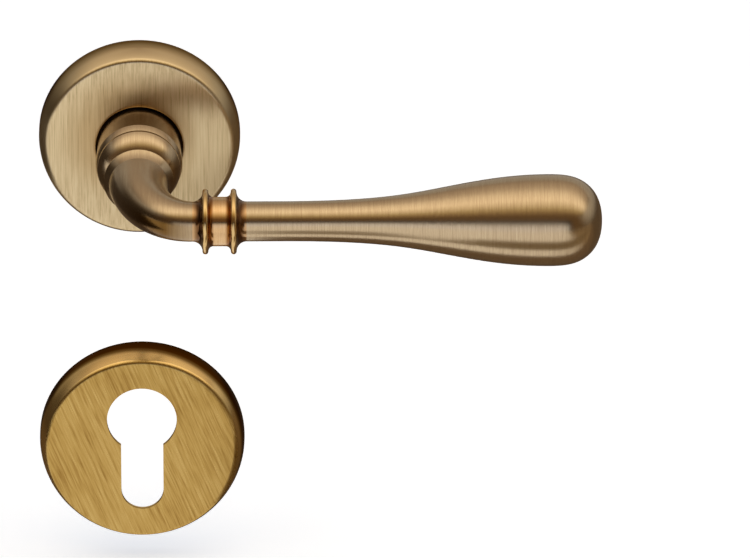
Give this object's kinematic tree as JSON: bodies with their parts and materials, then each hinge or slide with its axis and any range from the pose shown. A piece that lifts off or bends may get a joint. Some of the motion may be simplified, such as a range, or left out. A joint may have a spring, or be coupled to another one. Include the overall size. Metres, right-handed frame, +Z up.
{
  "type": "door lever handle",
  "caption": "Antique-brass door lever with a bulb-ended turned grip, ringed collar and curved neck on a round sprung rose, with a matching round euro-cylinder escutcheon.",
  "frame": {"origin": "spindle axis at the door face, the plane that the back of the rose sits on", "axes": "+Z up, +Y into the door along the spindle, the lever points along +X"},
  "size_m": [0.1448, 0.1123, 0.1389],
  "materials": {
    "rose_brass": "brushed antique brass, straight brushing",
    "lever_brass": "brushed antique brass, turned",
    "collar_brass": "relieved antique brass, polished high spots",
    "escutcheon_brass": "brushed antique brass, slanting brushing",
    "dark_nylon": "matt moulded nylon",
    "die_cast_zinc": "raw die-cast zinc alloy",
    "spring_steel": "oiled spring steel",
    "zinc_plated_steel": "bright zinc plate",
    "black_oxide_steel": "black oxide"
  },
  "bodies": {
    "mounting": {"rose_base": "die_cast_zinc", "bearing_bush": "dark_nylon", "thrust_washer": "dark_nylon", "return_spring": "spring_steel", "rose_snap_ring": "spring_steel", "rose_bolts": "zinc_plated_steel", "rose_wood_screws": "zinc_plated_steel", "escutcheon_base": "die_cast_zinc", "escutcheon_snap_ring": "spring_steel", "escutcheon_bolts": "zinc_plated_steel"},
    "lever": {"lever_neck": "lever_brass", "neck_ferrule": "lever_brass", "grub_screw": "black_oxide_steel", "spindle": "zinc_plated_steel", "spring_driver": "zinc_plated_steel", "retaining_clip": "spring_steel", "collar_ring": "collar_brass", "grip": "lever_brass", "grip_stud": "zinc_plated_steel"},
    "rose_cover_body": {"rose_cover": "rose_brass", "neck_guide_ring": "dark_nylon"},
    "escutcheon_cover_body": {"escutcheon_cover": "escutcheon_brass"}
  },
  "joints": [
    {"name": "lever_turn", "type": "hinge", "parent": "mounting", "child": "lever", "pos_m": [0, 0, 0], "axis": [0, 1, 0], "range_deg": [0, 45], "stiffness_Nm_per_rad": 0.6, "springref_deg": -34.38, "deforming": ["return_spring"]},
    {"name": "rose_cover_slide", "type": "slide", "parent": "mounting", "child": "rose_cover_body", "axis": [0, -1, 0], "range_m": [0, 0.02]},
    {"name": "escutcheon_cover_slide", "type": "slide", "parent": "mounting", "child": "escutcheon_cover_body", "axis": [0, -1, 0], "range_m": [0, 0.02]}
  ]
}
